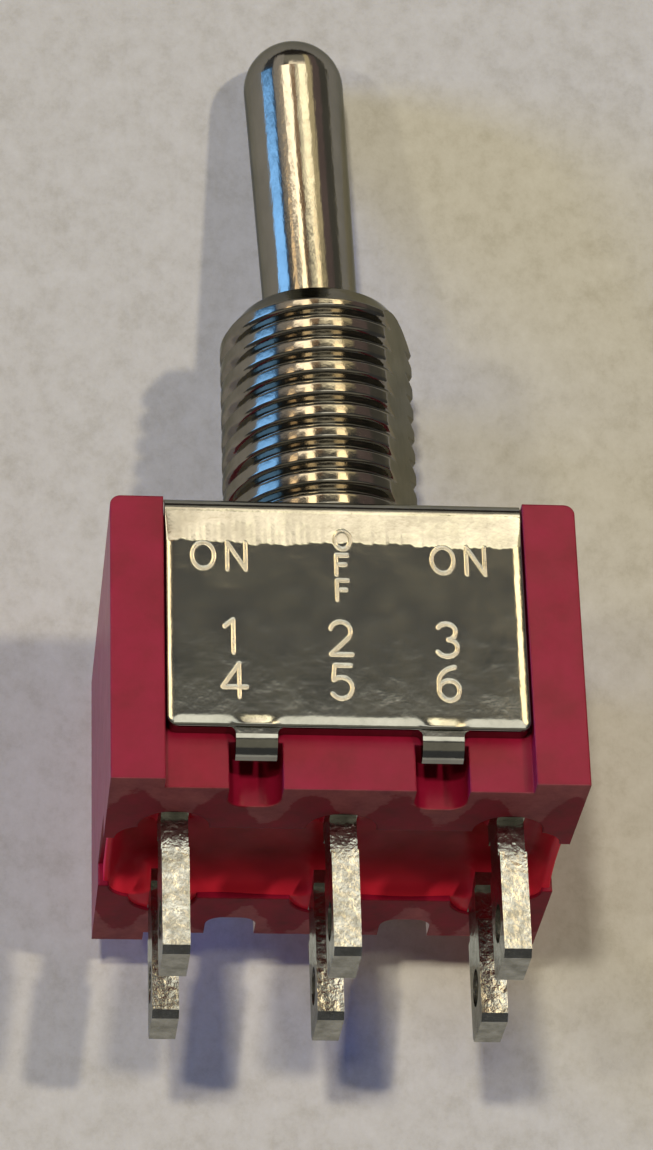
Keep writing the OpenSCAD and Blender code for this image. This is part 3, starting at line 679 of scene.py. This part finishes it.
def aim(obj, place):
    """Puts an object at a place, with its -Z side towards the switch."""
    obj.location = place
    obj.rotation_mode = "QUATERNION"
    obj.rotation_quaternion = (-Vector(place)).to_track_quat("-Z", "Y")


# The paper, in millimetres: half its width, its lean for each step up, and how far behind the case it lies.
PAPER_HALF, PAPER_LEAN, PAPER_GAP = 400.0, 0.229, 0.02
# The part of it that the case covers: half its width, the middle of its height, and half its height.
COVERED_X, COVERED_Z, COVERED_HALF_Z = 6.4, -4.6, 4.2


def paper_stage():
    """Pale paper behind the switch, which lies on it by the case's rear edge and the tip of the bat.

    Its back is clear and it throws no shadow, so that the switch is lit and seen from behind as well. Where
    the case covers it, it is clear to mirrors too, so that the rear flange doesn't mirror the dark there.
    """
    made, t = new_material("pale_paper_stage")
    where = add(t, "TexCoord").outputs["Object"]
    fibre = add(t, "TexNoise", values={"Scale": per_mm(0.9), "Detail": 6.0, "Roughness": 0.78},
                links={"Vector": where})
    colour = add(t, "ValToRGB", links={"Fac": fibre.outputs["Fac"]},
                 stops=[(0.25, paint("#bcb7ab")), (0.5, paint("#cecac1")), (0.8, paint("#dad7d0"))])
    bump = add(t, "Bump", values={"Strength": 0.25, "Distance": 0.05 * MM},
               links={"Height": fibre.outputs["Fac"]})
    sheet = add(t, "BsdfDiffuse", links={"Color": colour.outputs["Color"], "Normal": bump.outputs["Normal"]})
    clear = add(t, "BsdfTransparent")
    back = add(t, "NewGeometry").outputs["Backfacing"]
    path = add(t, "LightPath")
    open_side = add(t, "Math", settings={"operation": "MAXIMUM"},
                    links={0: back, 1: path.outputs["Is Shadow Ray"]})
    axes = add(t, "SeparateXYZ", links={"Vector": where})
    across = add(t, "Math", settings={"operation": "COMPARE"}, values={1: 0.0, 2: COVERED_X * MM},
                 links={0: axes.outputs["X"]})
    along = add(t, "Math", settings={"operation": "COMPARE"},
                values={1: COVERED_Z * MM, 2: COVERED_HALF_Z * MM}, links={0: axes.outputs["Z"]})
    covered = add(t, "Math", settings={"operation": "MULTIPLY"},
                  links={0: across.outputs[0], 1: along.outputs[0]})
    mirrored = add(t, "Math", settings={"operation": "MULTIPLY"}, links={
        0: covered.outputs[0], 1: path.outputs["Is Glossy Ray"]})
    unseen = add(t, "Math", settings={"operation": "MAXIMUM"},
                 links={0: open_side.outputs[0], 1: mirrored.outputs[0]})
    mix = add(t, "MixShader", links={
        0: unseen.outputs[0], 1: sheet.outputs["BSDF"], 2: clear.outputs["BSDF"]})
    add(t, "OutputMaterial", links={"Surface": mix.outputs["Shader"]})
    rest_y, rest_z, half = case_hi[1] + PAPER_GAP, case_hi[2], PAPER_HALF
    corners = np.array([(x, rest_y - PAPER_LEAN * (z - rest_z), z) for x, z in
                        ((-half, -half), (half, -half), (half, half), (-half, half))])
    piece = mesh_piece("paper_stage", corners, [(0, 1, 2, 3)], made, smooth=False)


# What polished metal mirrors: azimuth from, to, elevation from, to, edge softness in degrees, colour and
# strength. A later patch lies over an earlier one.
# The lamps' patches are split by elevation, because bat and thread mirror different heights of the room.
ROOM = [
    (-200, 20, -90, 90, 1, "#545454", 1.0),
    (-200, 20, 56, 90, 16, "#3d3834", 1.0),
    (-150, -35, -50, -6, 6, "#a09b8c", 0.9),
    (-104, -66, 12, 22.8, 1.4, "#d6d5cc", 2.1),
    (-92, -75, 1, 22.8, 1.4, "#e8e4d6", 2.5),
    (-143, -119, 29.4, 60, 1.6, "#cfc5ba", 1.0),
    (-119, -64, 43, 58, 3, "#b5ae9e", 1.0),
    (-66, -52, 31, 60, 3, "#efdcae", 1.3),
    (-52, -32, 22, 60, 3, "#857470", 1.0),
    (-32, -14, 5, 60, 4, "#67645c", 1.0),
    (-14, 14, -20, 70, 6, "#7a7668", 1.0),
    (-200, -172, 0, 60, 6, "#667a8e", 1.0),
    (-180, -143, 5, 38, 6, "#4a78a6", 0.8),
    (-174, -147, 5, 31.0, 4, "#82bdff", 3.6),
    (-130.5, -123, 20, 29.4, 1, "#ffd9a6", 3.8),
    (-111, -101.5, 18, 30.4, 1, "#ffe4b8", 6.0),
    (-121.5, -103, 30.4, 37, 1.2, "#ffecd0", 4.8),
    (-101, -93, 30.4, 43, 2, "#c79a70", 1.0),
    (-75.5, -65, 18, 31.2, 1, "#ffe4b4", 5.6),
    (-91.5, -74, 31.2, 33, 1.2, "#fff0cc", 3.6),
    (-84.5, -66.5, 32.6, 36.8, 1.4, "#fff2cc", 4.6),
    (-106, -66, 35, 43, 2, "#ffefd6", 3.1),
    (-106, -66, 38.2, 39.4, 1, "#d8bc88", 1.5),
    (-106, -66, 40.6, 41.2, 1, "#e0cca0", 1.8),
]


# Span of the shell in azimuth and elevation, in degrees; its columns and rows of points; its radius in mm.
SHELL_AZIMUTH, SHELL_ELEVATION = (-200, 20), (-88, 88)
SHELL_COLUMNS, SHELL_ROWS, SHELL_R = 331, 177, 1000.0


def mirrored_room():
    """A shell in front of the switch that only shows in reflections: lamps, a window and a dim ceiling.

    Its glow at each point is the colour of the last patch over it, with edges that ramp over the softness.
    """
    columns, rows = SHELL_COLUMNS, SHELL_ROWS
    azimuth = np.linspace(*SHELL_AZIMUTH, columns)[None, :] + np.zeros((rows, 1))
    elevation = np.linspace(*SHELL_ELEVATION, rows)[:, None] + np.zeros((1, columns))
    glow = np.zeros((rows, columns, 4))
    for az0, az1, el0, el1, soft, colour, strength in ROOM:
        across = np.minimum(azimuth - az0, az1 - azimuth) / soft + 0.5
        up = np.minimum(elevation - el0, el1 - elevation) / soft + 0.5
        cover = (smooth_step(across) * smooth_step(up))[..., None]
        shade = np.array(paint(colour)) * strength
        glow = glow * (1 - cover) + shade * cover
    a, e = np.radians(azimuth), np.radians(elevation)
    points = SHELL_R * np.stack([np.cos(a) * np.cos(e), np.sin(a) * np.cos(e), np.sin(e)], -1).reshape(-1, 3)
    made, t = new_material("mirrored_room_glow")
    shade = add(t, "Attribute", settings={"attribute_name": "glow"})
    light = add(t, "Emission", links={"Color": shade.outputs["Color"]})
    add(t, "OutputMaterial", links={"Surface": light.outputs["Emission"]})
    made.cycles.emission_sampling = "NONE"
    shell = mesh_piece("mirrored_room", points, grid_faces(rows, columns).tolist(), made)
    layer = shell.data.color_attributes.new("glow", "FLOAT_COLOR", "POINT")
    glow[..., 3] = 1
    layer.data.foreach_set("color", glow.reshape(-1))
    shell.visible_camera = False
    shell.visible_diffuse = False
    shell.visible_shadow = False


def lamp(name, azimuth, elevation, spread, colour, power):
    """A far lamp for the diffuse light and the shadows; what metal mirrors is the room's shell."""
    data = bpy.data.lights.new(name, "SUN")
    data.angle = math.radians(spread)
    data.color, data.energy = paint(colour)[:3], power
    made = bpy.data.objects.new(name, data)
    bpy.context.scene.collection.objects.link(made)
    aim(made, direction(azimuth, elevation))
    made.visible_glossy = False


paper_stage()
mirrored_room()
# Name, azimuth, elevation and spread in degrees, colour, power.
lamp("main_lamp", -100.2, -1, 4, "#fff8e4", 1.09)
lamp("right_lamp", -64, -4.5, 3, "#fff5de", 0.97)
lamp("left_lamp", -131.4, -8, 5, "#fff7d7", 0.34)
lamp("window_light", -165, 8, 18, "#5a91ff", 2.9)
lamp("fill_from_behind", 88, 20, 20, "#fffaf0", 1.4)

scene = bpy.context.scene
scene.view_settings.view_transform = "Standard"
world = bpy.data.worlds.new("pale_room")
scene.world = world
world.use_nodes = True
w = world.node_tree
w.nodes.clear()
# What is seen or mirrored is a pale backdrop; what lights the switch from all round is much weaker.
path = add(w, "LightPath")
looked_at = add(w, "Math", settings={"operation": "MAXIMUM"},
                links={0: path.outputs["Is Camera Ray"], 1: path.outputs["Is Glossy Ray"]})
seen = add(w, "Math", settings={"operation": "MAXIMUM"},
           links={0: looked_at.outputs[0], 1: path.outputs["Is Transmission Ray"]})
backdrop = add(w, "Background", values={"Color": paint("#d8d4ca"), "Strength": 1.0})
ambient = add(w, "Background", values={"Color": paint("#fff8dc"), "Strength": 0.08})
both = add(w, "MixShader", links={
    0: seen.outputs[0], 1: ambient.outputs["Background"], 2: backdrop.outputs["Background"]})
add(w, "OutputWorld", links={"Surface": both.outputs["Shader"]})

# Camera: the view's width and height, focal length and middle, all in one unit; then the sensor in mm.
VIEW_W, VIEW_H = 653, 1150
FOCAL, MIDDLE_X, MIDDLE_Y = 4037.834362200524, 323.81, 575.05
SENSOR = 36.0
# Its place and its axes, in the switch's own frame.
camera_data = bpy.data.cameras.new("camera")
camera = bpy.data.objects.new("camera", camera_data)
scene.collection.objects.link(camera)
right = Vector((0.9949978546, -0.0961703590, -0.0270275195))
down = Vector((0.0206631801, 0.4628403441, -0.8862007949))
forward = Vector((0.0977358800, 0.8812094152, 0.4625123397))
offset = Vector((-0.003175188584559133, 0.38868052662931596, 119.32898137846804))
place = -(right * offset.x + down * offset.y + forward * offset.z) * MM
camera.matrix_world = Matrix((
    (right.x, -down.x, -forward.x, place.x),
    (right.y, -down.y, -forward.y, place.y),
    (right.z, -down.z, -forward.z, place.z),
    (0, 0, 0, 1)))
camera_data.sensor_fit = "VERTICAL"
camera_data.sensor_height = SENSOR
camera_data.lens = FOCAL / VIEW_H * SENSOR
camera_data.shift_x = -(MIDDLE_X - VIEW_W / 2) / VIEW_H
camera_data.shift_y = (MIDDLE_Y - VIEW_H / 2) / VIEW_H
camera_data.clip_start = 0.01
camera_data.clip_end = 10
scene.camera = camera
